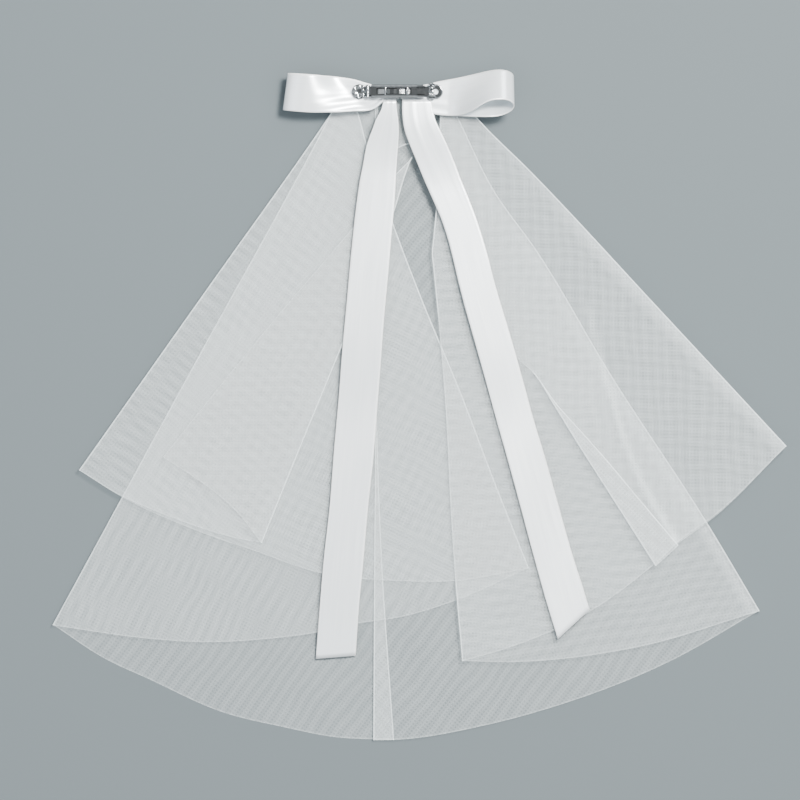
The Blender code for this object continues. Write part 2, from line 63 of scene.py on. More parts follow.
# Tulle veil: one length of fine nylon net, cut to a shallow arc, folded in a zigzag of flat pleats and
# pressed. Its folds and cut edges catch the light as thin bright lines. It lies layer on layer, and each
# fold line below runs from the gather under the bow down to the hem as (share of its length, x, y) in mm.
FOLD_LINES = {
    "left_side_edge": (
        (0.000, 17.3, 198.6), (0.074, 7.0, 178.1), (0.145, -4.2, 158.9), (0.194, -14.1, 148.7),
        (0.340, -41.0, 115.4), (0.594, -89.0, 59.1), (0.849, -136.3, 1.5), (1.000, -163.8, -33.1),
    ),
    "left_flap_fold": (
        (0.000, 17.3, 198.6), (0.074, 7.0, 178.1), (0.145, -4.2, 158.9), (0.265, -16.0, 123.7),
        (0.561, -49.3, 38.0), (0.795, -76.8, -29.2), (1.000, -100.5, -88.1),
    ),
    "left_upper_fold": (
        (0.000, -48.6, 198.6), (0.055, -57.6, 185.2), (0.528, -137.6, 71.9), (1.000, -217.6, -41.4),
    ),
    "left_middle_fold": (
        (0.000, -44.2, 198.6), (0.022, -41.0, 192.2), (0.105, -33.3, 166.6), (0.267, -16.6, 116.7),
        (0.438, 3.2, 64.8), (0.629, 26.9, 7.9), (0.817, 48.6, -49.1), (1.000, 70.4, -104.1),
    ),
    "left_base_fold": (
        (0.000, -50.6, 198.6), (0.043, -58.2, 183.9), (0.521, -146.6, 22.0), (1.000, -234.9, -140.6),
    ),
    "tuck_outer_fold": (
        (0.000, -26.2, 198.6), (0.510, -26.9, -12.6), (0.719, -23.7, -99.0), (1.000, -16.0, -214.5),
    ),
    "tuck_inner_fold": (
        (0.000, -28.2, 198.6), (0.531, -28.2, -20.9), (0.720, -28.8, -99.0), (1.000, -29.4, -214.5),
    ),
    "right_base_fold": (
        (0.000, 17.9, 198.6), (0.044, 25.6, 183.2), (0.175, 48.0, 137.8), (0.295, 74.9, 100.0),
        (0.540, 123.5, 18.8), (0.829, 184.3, -74.7), (1.000, 218.2, -131.6),
    ),
    "right_middle_fold": (
        (0.000, 14.1, 198.6), (0.035, 13.4, 185.8), (0.196, 10.9, 127.6), (0.262, 8.6, 103.5), (0.279, 8.0, 97.5),
        (0.296, 8.6, 91.5), (0.396, 12.2, 55.2), (0.573, 17.3, -8.8), (0.715, 19.8, -60.6), (0.855, 23.0, -111.2),
        (1.000, 27.5, -163.6),
    ),
    "right_upper_fold": (
        (0.000, 25.0, 198.6), (0.062, 37.1, 183.9), (0.218, 71.0, 150.0), (0.608, 153.0, 62.3),
        (1.000, 234.9, -26.0),
    ),
    "right_flap_fold": (
        (0.000, 14.1, 198.6), (0.073, 14.1, 175.6), (0.208, 28.8, 135.2), (0.564, 64.6, 28.4),
        (0.600, 73.0, 20.7), (0.665, 85.6, 0.8), (0.741, 99.4, -21.6), (0.864, 124.4, -60.9),
        (1.000, 151.0, -102.8),
    ),
    "right_side_edge": (
        (0.000, 14.1, 198.6), (0.073, 14.1, 175.6), (0.208, 28.8, 135.2), (0.564, 64.6, 28.4),
        (0.600, 73.0, 20.7), (0.674, 89.0, -0.4), (0.729, 102.4, -15.2), (0.796, 118.4, -33.1),
        (0.895, 141.4, -60.6), (1.000, 165.8, -89.4),
    ),
}
# The panels between neighbouring lines, in the order of the cloth: the layers up from the floor where each
# starts and ends, the part of its width where it changes, where a flap starts, and the points of its hem.
PANELS = (
    ("left_flap", 6, 6, (0.0, 1.0), 0.145, ((-148.5, -43.0), (-132.5, -54.0), (-116.0, -68.5))),
    ("left_upper", 5, 5, (0.0, 1.0), 0.0, ((-119.5, -84.5), (-141.0, -78.0), (-166.5, -68.5), (-190.1, -58.2))),
    ("left_middle", 4, 4, (0.0, 1.0), 0.0, (
        (-190.1, -58.7), (-140.2, -81.1), (-105.0, -93.2), (-63.4, -107.3), (-12.2, -112.4), (23.0, -112.4),
    )),
    ("left_lower", 3, 3, (0.0, 1.0), 0.0, (
        (23.0, -125.2), (-14.1, -136.1), (-37.1, -139.3), (-66.6, -145.7), (-90.9, -148.9),
        (-141.4, -151.5), (-177.3, -148.9),
    )),
    ("base_left", 0, 0, (0.0, 1.0), 0.0, (
        (-201.6, -162.4), (-174.1, -175.2), (-123.5, -197.6), (-85.8, -206.5), (-55.0, -212.6),
    )),
    ("tuck", 1, 1, (0.0, 1.0), 0.0, ((-22.5, -214.5),)),
    ("base_right", 2, 0, (0.1, 0.9), 0.0, (
        (-15.4, -214.3), (41.6, -205.2), (90.9, -191.8), (159.4, -164.9),
    )),
    ("right_lower", 3, 5, (0.05, 0.75), 0.0, ((140.2, -154.7), (58.2, -164.3))),
    ("right_middle", 6, 6, (0.0, 1.0), 0.0, (
        (58.2, -154.7), (107.5, -132.9), (149.8, -102.2), (164.5, -89.4), (188.8, -71.5),
    )),
    ("right_upper", 7, 7, (0.0, 1.0), 0.0, ((188.8, -70.5), (164.5, -88.4))),
    ("right_flap", 8, 8, (0.0, 1.0), 0.600, ((158.4, -96.2),)),
)
LAYER_PITCH = 1.3 * MM
LAYER_MIDDLE = 0.5 * MM
FOLD_DEPTH = 0.6 * MM
FOLD_STEPS = 6
EDGE_STEPS = (0.0, 0.4 * MM, 0.9 * MM, 3.0 * MM, 6.0 * MM, 9.0 * MM)
PANEL_CELLS = 34
VEIL_ROWS = 84
HEM_GAPS = (1.0 * MM, 0.4 * MM)
VEIL_LENGTH = 330 * MM
FLAP_STARTS = (0.145, 0.600)
GATHER_MIDDLE = np.array((-12.2, 198.6)) * MM
RIPPLE_HEIGHT = 0.2 * MM
SAME_POINT = 0.02 * MM
SOFT_FOLDS = ("right_upper_fold", "right_base_fold")
# A soft crease runs down the upper right panel. It is a low ridge in the net, and the net along it is also painted
# whiter as a painted highlight for the light that its ridge would catch.
CREASE = ((0.0, 108.0, 62.0), (0.22, 115.2, 32.2), (0.6, 137.0, -37.6), (1.0, 165.8, -89.4))
CREASE_PANEL = 9
CREASE_WIDTH = 2.4 * MM
# The small flap at the right is turned over three times, so it is whiter all over.
FLAP_PRESS = 0.25
# The flap at the left is only whiter and brighter edged where it starts, near the bow.
LEFT_FLAP_PRESS = 0.14
LEFT_FLAP_FADE = (0.2, 0.42)
FOLD_LINE = (0.3 * MM, 1.0 * MM)
CUT_LINE = (0.1 * MM, 0.8 * MM)
# Where the left stack lies over a right fold, that fold shows less.
COVERED_FOLDS = {"right_middle_fold": (0.36, 0.40, 0.84, 0.88, 0.4)}


def mix(first, second, share):
    return first + (second - first) * share


def ease(value, start, end):
    share = np.clip((value - start) / (end - start), 0.0, 1.0)
    return share * share * (3.0 - 2.0 * share)


def smooth_line(rows, share):
    """The point at that share of a smooth curve through the rows of (share, x, y, ...)."""
    rows = np.asarray(rows, float)
    places, points = rows[:, 0], rows[:, 1:]
    slopes = np.gradient(points, places, axis=0)
    here = int(np.clip(np.searchsorted(places, share, side="right") - 1, 0, len(places) - 2))
    span = places[here + 1] - places[here]
    t = (share - places[here]) / span
    return (
        points[here] * (2 * t**3 - 3 * t**2 + 1)
        + slopes[here] * span * (t**3 - 2 * t**2 + t)
        + points[here + 1] * (3 * t**2 - 2 * t**3)
        + slopes[here + 1] * span * (t**3 - t**2)
    )


def with_shares(points):
    """The points, each after the share of the line's length that it is at."""
    points = np.asarray(points, float)
    steps = np.r_[0.0, np.cumsum(np.linalg.norm(np.diff(points, axis=0), axis=1))]
    return np.c_[steps / steps[-1], points]


def fold_points(down):
    return [smooth_line(line, down) * MM for line in FOLD_LINES.values()]


def outward_ways(down):
    """At each fold line, the way square to it that points out of the fold."""
    points = fold_points(down)
    low, high = max(down - 0.01, 0.0), min(down + 0.01, 1.0)
    before, after = fold_points(low), fold_points(high)
    ways = []
    for index, here in enumerate(points):
        along = (after[index] - before[index]) / np.linalg.norm(after[index] - before[index])
        square = np.array((along[1], -along[0]))
        neighbours = points[max(index - 1, 0):index] + points[index + 1:index + 2]
        farthest = max(neighbours, key=lambda point: np.linalg.norm(here - point))
        ways.append(square * math.copysign(1.0, square @ (here - farthest)))
    return ways


def fan_points(first, last, across, down):
    """Points between two fold lines: straight across at the gather, on an arc round it at the hem."""
    straight = mix(first, last, across[:, None])
    reaches = [np.linalg.norm(end - GATHER_MIDDLE) for end in (first, last)]
    angles = [math.atan2(end[0] - GATHER_MIDDLE[0], GATHER_MIDDLE[1] - end[1]) for end in (first, last)]
    reach, angle = mix(*reaches, across), mix(*angles, across)
    arc = GATHER_MIDDLE + reach[:, None] * np.c_[np.sin(angle), -np.cos(angle)]
    return mix(straight, arc, down)


def hem_points(index, first, last, across):
    hem = with_shares([first, *(np.array(point) * MM for point in PANELS[index][5]), last])
    return np.array([smooth_line(hem, share) for share in across])


def ripple(plan, index):
    """The slight waves that stay in pressed net."""
    x, y = plan[:, 0] / MM, plan[:, 1] / MM
    long_wave = np.sin(x / 9.0 + 2.1 * index) * np.sin(y / 31.0 + index)
    return RIPPLE_HEIGHT * (long_wave + 0.6 * np.sin((x + y) / 17.0 + 3.0 * index))


def crease_strength(plan):
    """How near the points are to the soft crease that runs down the upper right panel."""
    line = np.array([smooth_line(CREASE, share) * MM for share in np.linspace(0.0, 1.0, 80)])
    gaps = np.linalg.norm(plan[:, None, :] - line[None, :, :], axis=2)
    return np.exp(-(gaps.min(1) / CREASE_WIDTH) ** 2) * (0.25 + 0.75 * gaps.argmin(1) / len(line))


def fold_brightness(name, down):
    start, full, last, end, least = COVERED_FOLDS.get(name, (2.0, 3.0, 4.0, 5.0, 1.0))
    return 1.0 - (1.0 - least) * ease(down, start, full) * (1.0 - ease(down, last, end))


def tulle_row(down):
    """One row of the cloth from its left side edge to its right one: x, y, z, fold, cut and press strengths, where the
    press strength also holds a painted highlight along the crease.
    """
    lines, ways = fold_points(down), outward_ways(down)
    hem_lines = fold_points(1.0)
    widths = [np.linalg.norm(after - before) for before, after in zip(lines, lines[1:])]
    depths = [0.0, *(min(FOLD_DEPTH, 0.2 * min(pair)) for pair in zip(widths, widths[1:])), 0.0]
    if down < FLAP_STARTS[0]:
        depths[1] = 0.0
    if down < FLAP_STARTS[1]:
        depths[-2] = 0.0
    ends = [line - way * depth for line, way, depth in zip(lines, ways, depths)]
    row = []
    for index, (_, start, end, change, _, _) in enumerate(PANELS):
        width = max(widths[index], 1e-5)
        near = [min(step, width * 0.06 * number) / width for number, step in enumerate(EDGE_STEPS)]
        inner = np.linspace(near[-1], 1.0 - near[-1], PANEL_CELLS + 1)[1:-1]
        across = np.array([*near, *inner, *(1.0 - share for share in reversed(near))])
        plan = fan_points(ends[index], ends[index + 1], across, down)
        hem_first, hem_last = hem_lines[index], hem_lines[index + 1]
        pull = hem_points(index, hem_first, hem_last, across) - fan_points(hem_first, hem_last, across, 1.0)
        plan = plan + pull * down**4
        settled = np.clip((across - change[0]) / (change[1] - change[0]), 0.0, 1.0)
        calm = np.clip(10.0 * np.minimum(across, 1.0 - across), 0.0, 1.0) * ease(down, 0.05, 0.3)
        height = mix(start, end, settled) * LAYER_PITCH + LAYER_MIDDLE + ripple(plan, index) * calm
        folds = [across * width + depths[index], (1.0 - across) * width + depths[index + 1]]
        cut = np.full(len(across), (1.0 - down) * VEIL_LENGTH)
        last_panel = len(PANELS) - 1
        free_sides = {(0, 0), (last_panel, 1)}
        free_sides |= {(1, 0)} if down < FLAP_STARTS[0] else set()
        free_sides |= {(last_panel - 1, 1)} if down < FLAP_STARTS[1] else set()
        names = list(FOLD_LINES)[index:index + 2]
        folded = np.zeros(len(across))
        for side, (name, gap) in enumerate(zip(names, folds)):
            if (index, side) in free_sides:
                cut = np.minimum(cut, gap)
            else:
                folded = np.maximum(folded, fold_brightness(name, down) * (1.0 - ease(gap, *FOLD_LINE)))
        cut = 1.0 - ease(cut, *CUT_LINE)
        # Along the crease the net is painted whiter, a painted highlight where its ridge would catch the light.
        press_and_highlight = crease_strength(plan) if index == CREASE_PANEL else np.zeros(len(across))
        if index == 0:
            near_bow = 1.0 - ease(down, *LEFT_FLAP_FADE)
            press_and_highlight = press_and_highlight + LEFT_FLAP_PRESS * near_bow
            folded = np.maximum(folded, 0.6 * near_bow * (1.0 - ease(folds[0], *FOLD_LINE)))
        if index == last_panel:
            press_and_highlight = press_and_highlight + FLAP_PRESS
            folded = np.maximum(folded, 0.8 * (1.0 - ease(folds[1], *FOLD_LINE)))
        height = height + 0.5 * MM * press_and_highlight * (index == CREASE_PANEL)
        for name, gap in zip(names, folds):
            if name in SOFT_FOLDS:
                press_and_highlight = np.maximum(press_and_highlight, 0.25 * (1.0 - ease(gap, 4.0 * MM, 9.5 * MM)) * ease(down, 0.15, 0.5))
        row += list(np.c_[plan, height, folded, cut, press_and_highlight])
        if index + 1 == len(PANELS):
            break
        rise = (PANELS[index + 1][1] - end) * LAYER_PITCH
        centre = end * LAYER_PITCH + LAYER_MIDDLE + rise / 2.0
        for step in range(1, FOLD_STEPS):
            angle = math.pi * (step / FOLD_STEPS - 0.5)
            place = ends[index + 1] + ways[index + 1] * depths[index + 1] * math.cos(angle)
            strength = fold_brightness(names[1], down)
            row.append(np.array((*place, centre + rise / 2.0 * math.sin(angle), strength, cut[-1], press_and_highlight[-1])))
    return np.array(row)


def mirror_over(first, last):
    """The 2 × 3 matrix that mirrors plan points over the line through two points."""
    along = (last - first) / np.linalg.norm(last - first)
    turn = 2.0 * np.outer(along, along) - np.eye(2)
    return np.c_[turn, first - turn @ first]


def unfoldings():
    """For each panel, the matrix that folds it out flat beside the first one, so its threads run on."""
    made = [np.eye(2, 3)]
    for line in list(FOLD_LINES.values())[1:-1]:
        flip = mirror_over(np.array(line[0][1:]) * MM, np.array(line[-1][1:]) * MM)
        turn, shift = made[-1][:, :2], made[-1][:, 2]
        made.append(np.c_[turn @ flip[:, :2], turn @ flip[:, 2] + shift])
    return made


def sheet_object(name, points, faces, plans=None, attributes=None):
    """A mesh object from its points and faces, with the flat place of each corner as its UV map."""
    mesh = bpy.data.meshes.new(name)
    mesh.from_pydata([tuple(point) for point in points], [], [tuple(face) for face in faces])
    for label, values in (attributes or {}).items():
        layer = mesh.attributes.new(label, "FLOAT", "POINT")
        layer.data.foreach_set("value", np.asarray(values, np.float32))
    if plans is not None:
        layer = mesh.uv_layers.new(name="cloth")
        layer.data.foreach_set("uv", np.asarray(plans, np.float32).ravel())
    mesh.validate()
    mesh.shade_smooth()
    item = bpy.data.objects.new(name, mesh)
    bpy.context.scene.collection.objects.link(item)
    return item


# A small fold of the gather shows between the tails, where it ends in a curved edge. It runs on under both.
GATHER_EDGE = ((-24.0, 160.5), (-15.4, 163.4), (-12.0, 165.2), (-8.0, 166.7), (-3.0, 167.4), (4.0, 167.6))
GATHER_TOP = 196.0 * MM
GATHER_LEVEL = 8.3 * MM
GATHER_GAPS = np.array((0.0, 0.35, 0.7, 1.1, 3.0, 6.0, 10.0, 15.0, 20.0, 28.0)) / 28.0
GATHER_CELLS = 24


def gather_fold():
    """The points of the small fold with their strengths, row by row up from its curved edge."""
    edge = with_shares(GATHER_EDGE)
    line = np.array([smooth_line(edge, cell / GATHER_CELLS) * MM for cell in range(GATHER_CELLS + 1)])
    rows = []
    for gap in GATHER_GAPS:
        height = GATHER_TOP - line[:, 1]
        plan = np.c_[line[:, 0], line[:, 1] + gap * height]
        bright = 0.8 * (1.0 - ease(gap * height, *FOLD_LINE))
        none = np.zeros(len(line))
        rows.append(np.c_[plan, none + GATHER_LEVEL, bright, none, none])
    return np.array(rows)


def build_tulle():
    shares = {row / VEIL_ROWS for row in range(VEIL_ROWS)} | set(FLAP_STARTS) | {1.0}
    shares = sorted(shares | {1.0 - gap / VEIL_LENGTH for gap in HEM_GAPS})
    grid = np.array([tulle_row(down) for down in shares])
    columns = grid.shape[1]
    per_panel = (columns - (len(PANELS) - 1) * (FOLD_STEPS - 1)) // len(PANELS)
    stride = per_panel + FOLD_STEPS - 1
    faces, corners_flat = [], []
    turns = unfoldings()
    flat = grid.reshape(-1, grid.shape[2])
    for index in sorted(range(len(PANELS)), key=lambda number: sum(PANELS[number][1:3])):
        first_share = PANELS[index][4]
        last_column = min((index + 1) * stride, columns - 1)
        for i in range(len(shares) - 1):
            for j in range(index * stride, last_column):
                in_turn = j >= index * stride + per_panel - 1
                starts = max(first_share, PANELS[index + 1][4]) if in_turn else first_share
                if shares[i] < starts - 1e-9:
                    continue
                corners = [i * columns + j, i * columns + j + 1, (i + 1) * columns + j + 1, (i + 1) * columns + j]
                faces.append(corners)
                corners_flat += [turns[index][:, :2] @ flat[c, :2] + turns[index][:, 2] for c in corners]
    fold = gather_fold()
    first_corner, width = len(flat), fold.shape[1]
    flat = np.r_[flat, fold.reshape(-1, fold.shape[2])]
    for i in range(fold.shape[0] - 1):
        for j in range(width - 1):
            corner = first_corner + i * width + j
            corners = [corner, corner + 1, corner + width + 1, corner + width]
            faces.append(corners)
            corners_flat += [flat[c, :2] for c in corners]
    used = np.unique(faces)
    renumber = np.zeros(len(flat), int)
    renumber[used] = np.arange(len(used))
    attributes = {"fold": flat[used, 3], "cut": flat[used, 4], "press_and_highlight": flat[used, 5]}
    made = sheet_object("tulle", flat[used, :3], renumber[np.array(faces)], corners_flat, attributes)
    form = bmesh.new()
    form.from_mesh(made.data)
    bmesh.ops.remove_doubles(form, verts=form.verts, dist=SAME_POINT)
    bmesh.ops.dissolve_degenerate(form, edges=form.edges, dist=SAME_POINT)
    form.to_mesh(made.data)
    form.free()
    return made


tulle = build_tulle()


def linear(hex_colour):
    """The linear red, green and blue of an sRGB hex colour, with a full alpha."""
    channels = [int(hex_colour[place:place + 2], 16) / 255 for place in (1, 3, 5)]
    return (*(c / 12.92 if c <= 0.04045 else ((c + 0.055) / 1.055) ** 2.4 for c in channels), 1.0)


def add_node(tree, kind, inputs=None, **settings):
    """Adds a node with its settings. Each input is a value, or the output that it is linked from."""
    made = tree.nodes.new(kind)
    for name, value in settings.items():
        setattr(made, name, value)
    for name, value in (inputs or {}).items():
        if isinstance(value, bpy.types.NodeSocket):
            tree.links.new(value, made.inputs[name])
        else:
            made.inputs[name].default_value = value
    return made


def new_material(name):
    made = bpy.data.materials.new(name)
    made.use_nodes = True
    return made, made.node_tree, made.node_tree.nodes["Principled BSDF"]


# Fine nylon net: matt white threads far apart, so the cloth is mostly clear. Threads crowd at a pressed
# fold and at a cut edge, which show as thin bright lines.
TULLE_WHITE = "#EFF7F8"
TULLE_COVER = 0.125
FOLD_COVER = 0.42
CUT_COVER = 0.14
# The press cover also whitens the crease, as a painted highlight.
PRESS_AND_HIGHLIGHT_COVER = 0.36
CLOUD_COVER = 0.06
# Real net has a thread about every 0.5 mm. It is drawn at 2.1 mm, about three pixels, so that it shows.
NET_PITCH = 2.1 * MM
NET_COVER = 0.095
# Where layers of net cross, their threads make wavy moire bands, about 7 mm apart.
MOIRE_PITCH = 7.0 * MM
MOIRE_COVER = 0.05


def tulle_finish():
    made, tree, shader = new_material("woven_nylon_tulle")
    shader.inputs["Base Color"].default_value = linear(TULLE_WHITE)
    shader.inputs["Roughness"].default_value = 0.65
    shader.inputs["Sheen Weight"].default_value = 0.3
    cloth = add_node(tree, "ShaderNodeUVMap", uv_map="cloth").outputs["UV"]
    threads = []
    for axis in ("X", "Y"):
        facts = {"Vector": cloth, "Scale": 0.1 * math.pi / NET_PITCH, "Distortion": 0.0}
        wave = add_node(tree, "ShaderNodeTexWave", facts, wave_type="BANDS", bands_direction=axis, wave_profile="SIN")
        threads.append(wave.outputs["Fac"])
    net = add_node(tree, "ShaderNodeMath", {0: threads[0], 1: threads[1]}, operation="MAXIMUM").outputs[0]
    cloud = add_node(tree, "ShaderNodeTexNoise", {"Vector": cloth, "Scale": 38.0, "Detail": 3.0}).outputs["Fac"]
    cover = add_node(
        tree, "ShaderNodeMath", {0: net, 1: NET_COVER, 2: TULLE_COVER - (NET_COVER + CLOUD_COVER + MOIRE_COVER) / 2.0},
        operation="MULTIPLY_ADD",
    ).outputs[0]
    bands = {"Vector": cloth, "Scale": 0.1 * math.pi / MOIRE_PITCH, "Distortion": 7.0, "Detail Scale": 0.4}
    moire = add_node(tree, "ShaderNodeTexWave", bands, wave_type="BANDS", bands_direction="Y", wave_profile="SIN")
    sources = [(cloud, CLOUD_COVER), (moire.outputs["Fac"], MOIRE_COVER)]
    for label, strength in (("fold", FOLD_COVER), ("cut", CUT_COVER), ("press_and_highlight", PRESS_AND_HIGHLIGHT_COVER)):
        sources.append((add_node(tree, "ShaderNodeAttribute", attribute_name=label).outputs["Fac"], strength))
    for source, strength in sources:
        cover = add_node(tree, "ShaderNodeMath", {0: source, 1: strength, 2: cover}, operation="MULTIPLY_ADD").outputs[0]
    tree.links.new(cover, shader.inputs["Alpha"])
    return made


tulle.data.materials.append(tulle_finish())
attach(tulle, "veil")
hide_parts("tulle_veil")

# Ribbon tails: 25 mm single-face satin ribbon, woven with a selvage on each side, pinched into the bow's
# middle and laid down over the tulle. The left end is cut square and the right one slanting. Each edge is
# listed from the bow to the cut end as (x, y) in mm, and the heights as (share, height) in mm. Last are the
# creases that the pinch leaves, as (place across, share where each ends, height in mm).
RIBBON_WIDTH = 25 * MM
RIBBON_WALL = 0.5 * MM
RIBBON_CELLS = 20
TAIL_ROWS = 110
TAILS = {
    "tail_left": (
        (
            (-22.4, 196.0), (-24.0, 189.0), (-27.4, 182.6), (-29.8, 176.2), (-33.3, 166.6),
            (-35.8, 153.8), (-37.7, 144.2), (-40.0, 128.2), (-43.8, 93.0), (-46.1, 67.4),
            (-48.5, 41.8), (-51.5, 3.4), (-54.4, -28.6), (-57.4, -67.0), (-61.0, -99.0),
            (-63.7, -131.0), (-66.1, -162.4),
        ),
        (
            (-14.7, 196.0), (-14.4, 189.0), (-13.4, 182.0), (-13.1, 173.0), (-13.8, 162.1),
            (-14.6, 150.6), (-15.6, 131.4), (-17.9, 105.8), (-20.1, 80.2), (-22.5, 54.6),
            (-24.4, 29.0), (-26.9, -3.0), (-29.4, -35.0), (-32.2, -60.6), (-35.6, -99.0),
            (-38.4, -127.8), (-40.6, -160.4),
        ),
        ((0.0, 14.0), (0.03, 13.6), (0.10, 10.6), (0.45, 9.9), (0.56, 7.6), (0.86, 7.3), (0.93, 6.0), (0.95, 5.6), (1.0, 2.2)),
        ((0.30, 0.16, 0.10), (0.72, 0.22, 0.13)),
    ),
    "tail_right": (
        (
            (-10.6, 196.0), (-10.8, 189.0), (-10.2, 181.3), (-9.0, 174.9), (-6.7, 168.5),
            (-2.0, 157.0), (3.2, 144.2), (8.9, 131.4), (14.4, 118.6), (18.6, 105.8), (21.9, 93.0),
            (24.9, 80.2), (28.1, 67.4), (35.3, 41.8), (42.5, 16.2), (49.5, -9.4), (56.7, -35.0),
            (63.7, -60.6), (74.0, -99.0), (81.1, -124.6), (88.7, -149.3),
        ),
        (
            (7.4, 196.0), (8.6, 189.0), (10.2, 182.6), (13.1, 176.2), (16.2, 169.8), (21.8, 157.0),
            (26.8, 144.2), (32.0, 131.4), (36.8, 118.6), (40.9, 105.8), (44.5, 93.0), (47.7, 80.2),
            (51.4, 67.4), (59.1, 41.8), (66.3, 16.2), (73.3, -9.4), (81.0, -35.0), (88.2, -60.6),
            (99.1, -99.0), (104.3, -115.0), (109.0, -130.7),
        ),
        ((0.0, 14.1), (0.03, 14.5), (0.07, 13.8), (0.14, 11.6), (0.5, 11.2), (0.6, 10.0), (1.0, 9.9)),
        ((0.34, 0.13, 0.22), (0.80, 0.17, 0.08)),
    ),
}


CREASE_REACH = 0.08
HEIGHT_SMOOTHING = np.linspace(-0.035, 0.035, 15)


def build_tail(name, left_edge, right_edge, heights, creases):
    left, right = with_shares(left_edge), with_shares(right_edge)
    heights = np.array(heights)
    points, plans, edge_gaps, faces = [], [], [], []
    length = np.linalg.norm(np.diff(left[:, 1:], axis=0), axis=1).sum() * MM
    for row in range(TAIL_ROWS + 1):
        down = row / TAIL_ROWS
        first, last = smooth_line(left, down) * MM, smooth_line(right, down) * MM
        level = np.interp(down + HEIGHT_SMOOTHING, heights[:, 0], heights[:, 1]).mean() * MM
        for cell in range(RIBBON_CELLS + 1):
            across = cell / RIBBON_CELLS
            wave = 0.0
            for middle, fade, height in creases:
                strength = height * MM * (1.0 - ease(down, 0.3 * fade, 1.4 * fade))
                wave += strength * math.exp(-(((across - middle) / CREASE_REACH) ** 2))
            sway = 0.25 * MM * math.sin(down * 19.0 + 2.0 * across)
            points.append((*mix(first, last, across), level + wave + sway))
            plans.append((across * RIBBON_WIDTH, down * length))
    columns = RIBBON_CELLS + 1
    for row in range(TAIL_ROWS):
        for cell in range(RIBBON_CELLS):
            corner = row * columns + cell
            faces.append((corner, corner + columns, corner + columns + 1, corner + 1))
    corner_plans = [plans[corner] for face in faces for corner in face]
    return sheet_object(name, points, faces, corner_plans)


def apply_modifier(item, kind, **settings):
    """Adds a modifier with its settings and applies it."""
    bpy.ops.object.select_all(action="DESELECT")
    item.select_set(True)
    bpy.context.view_layer.objects.active = item
    change = item.modifiers.new(kind, kind)
    for name, value in settings.items():
        setattr(change, name, value)
    bpy.ops.object.modifier_apply(modifier=change.name)


# Polyester satin: long floats of shiny filament on the face, so light runs along it in soft broad bands.
# The metallic share stands for the floats, which reflect as a soft mirror does.
SATIN_MIRROR = 0.35
SATIN_WHITE = "#F3F8FA"
SATIN_SHADE = "#E4EAEE"
# Satin has a filament about every 0.1 mm. Their grouping shows as streaks, drawn 1.2 mm apart.
FILAMENT_PITCH = 1.2 * MM
STREAK_LENGTH = 45 * MM
SELVAGE_WIDTH = 0.9 * MM


def satin_finish():
    made, tree, shader = new_material("woven_polyester_satin")
    shader.inputs["Metallic"].default_value = SATIN_MIRROR
    shader.inputs["Sheen Weight"].default_value = 0.1
    shader.inputs["Anisotropic"].default_value = 0.6
    shader.inputs["Specular IOR Level"].default_value = 0.65
    cloth = add_node(tree, "ShaderNodeUVMap", uv_map="cloth").outputs["UV"]
    scale = (1.0 / FILAMENT_PITCH, 1.0 / STREAK_LENGTH, 1.0)
    along = add_node(tree, "ShaderNodeMapping", {"Vector": cloth, "Scale": scale}).outputs[0]
    streaks = add_node(tree, "ShaderNodeTexNoise", {"Vector": along, "Scale": 1.0, "Detail": 2.0}).outputs["Fac"]
    across = add_node(tree, "ShaderNodeSeparateXYZ", {"Vector": cloth}).outputs["X"]
    middle = add_node(tree, "ShaderNodeMath", {0: across, 1: RIBBON_WIDTH / 2.0}, operation="SUBTRACT").outputs[0]
    gap = add_node(tree, "ShaderNodeMath", {0: middle}, operation="ABSOLUTE").outputs[0]
    edges = {"Value": gap, 1: RIBBON_WIDTH / 2.0 - SELVAGE_WIDTH, 2: RIBBON_WIDTH / 2.0 - 0.6 * SELVAGE_WIDTH}
    selvage = add_node(tree, "ShaderNodeMapRange", edges).outputs["Result"]
    colour = add_node(
        tree, "ShaderNodeMix", {"Factor": streaks, 6: linear(SATIN_SHADE), 7: linear(SATIN_WHITE)}, data_type="RGBA"
    ).outputs[2]
    colour = add_node(
        tree, "ShaderNodeMix", {"Factor": selvage, 6: colour, 7: linear("#FBFDFD")}, data_type="RGBA"
    ).outputs[2]
    tree.links.new(colour, shader.inputs["Base Color"])
    rough = add_node(tree, "ShaderNodeMapRange", {"Value": streaks, 3: 0.27, 4: 0.37}).outputs["Result"]
    rough = add_node(tree, "ShaderNodeMath", {0: selvage, 1: 0.2, 2: rough}, operation="MULTIPLY_ADD").outputs[0]
    tree.links.new(rough, shader.inputs["Roughness"])
    floats = add_node(tree, "ShaderNodeTangent", direction_type="UV_MAP", uv_map="cloth").outputs["Tangent"]
    tree.links.new(floats, shader.inputs["Tangent"])
    height = add_node(tree, "ShaderNodeMath", {0: selvage, 1: 0.6, 2: streaks}, operation="MULTIPLY_ADD").outputs[0]
    bump = add_node(tree, "ShaderNodeBump", {"Height": height, "Strength": 0.25, "Distance": 0.1 * MM})
    tree.links.new(bump.outputs["Normal"], shader.inputs["Normal"])
    return made


satin = satin_finish()
for name, (left_edge, right_edge, heights, creases) in TAILS.items():
    tail = build_tail(f"ribbon_{name}", left_edge, right_edge, heights, creases)
    apply_modifier(tail, "SOLIDIFY", thickness=RIBBON_WALL, offset=0.0)
    tail.data.materials.append(satin)
    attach(tail, "veil")
    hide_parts(name)

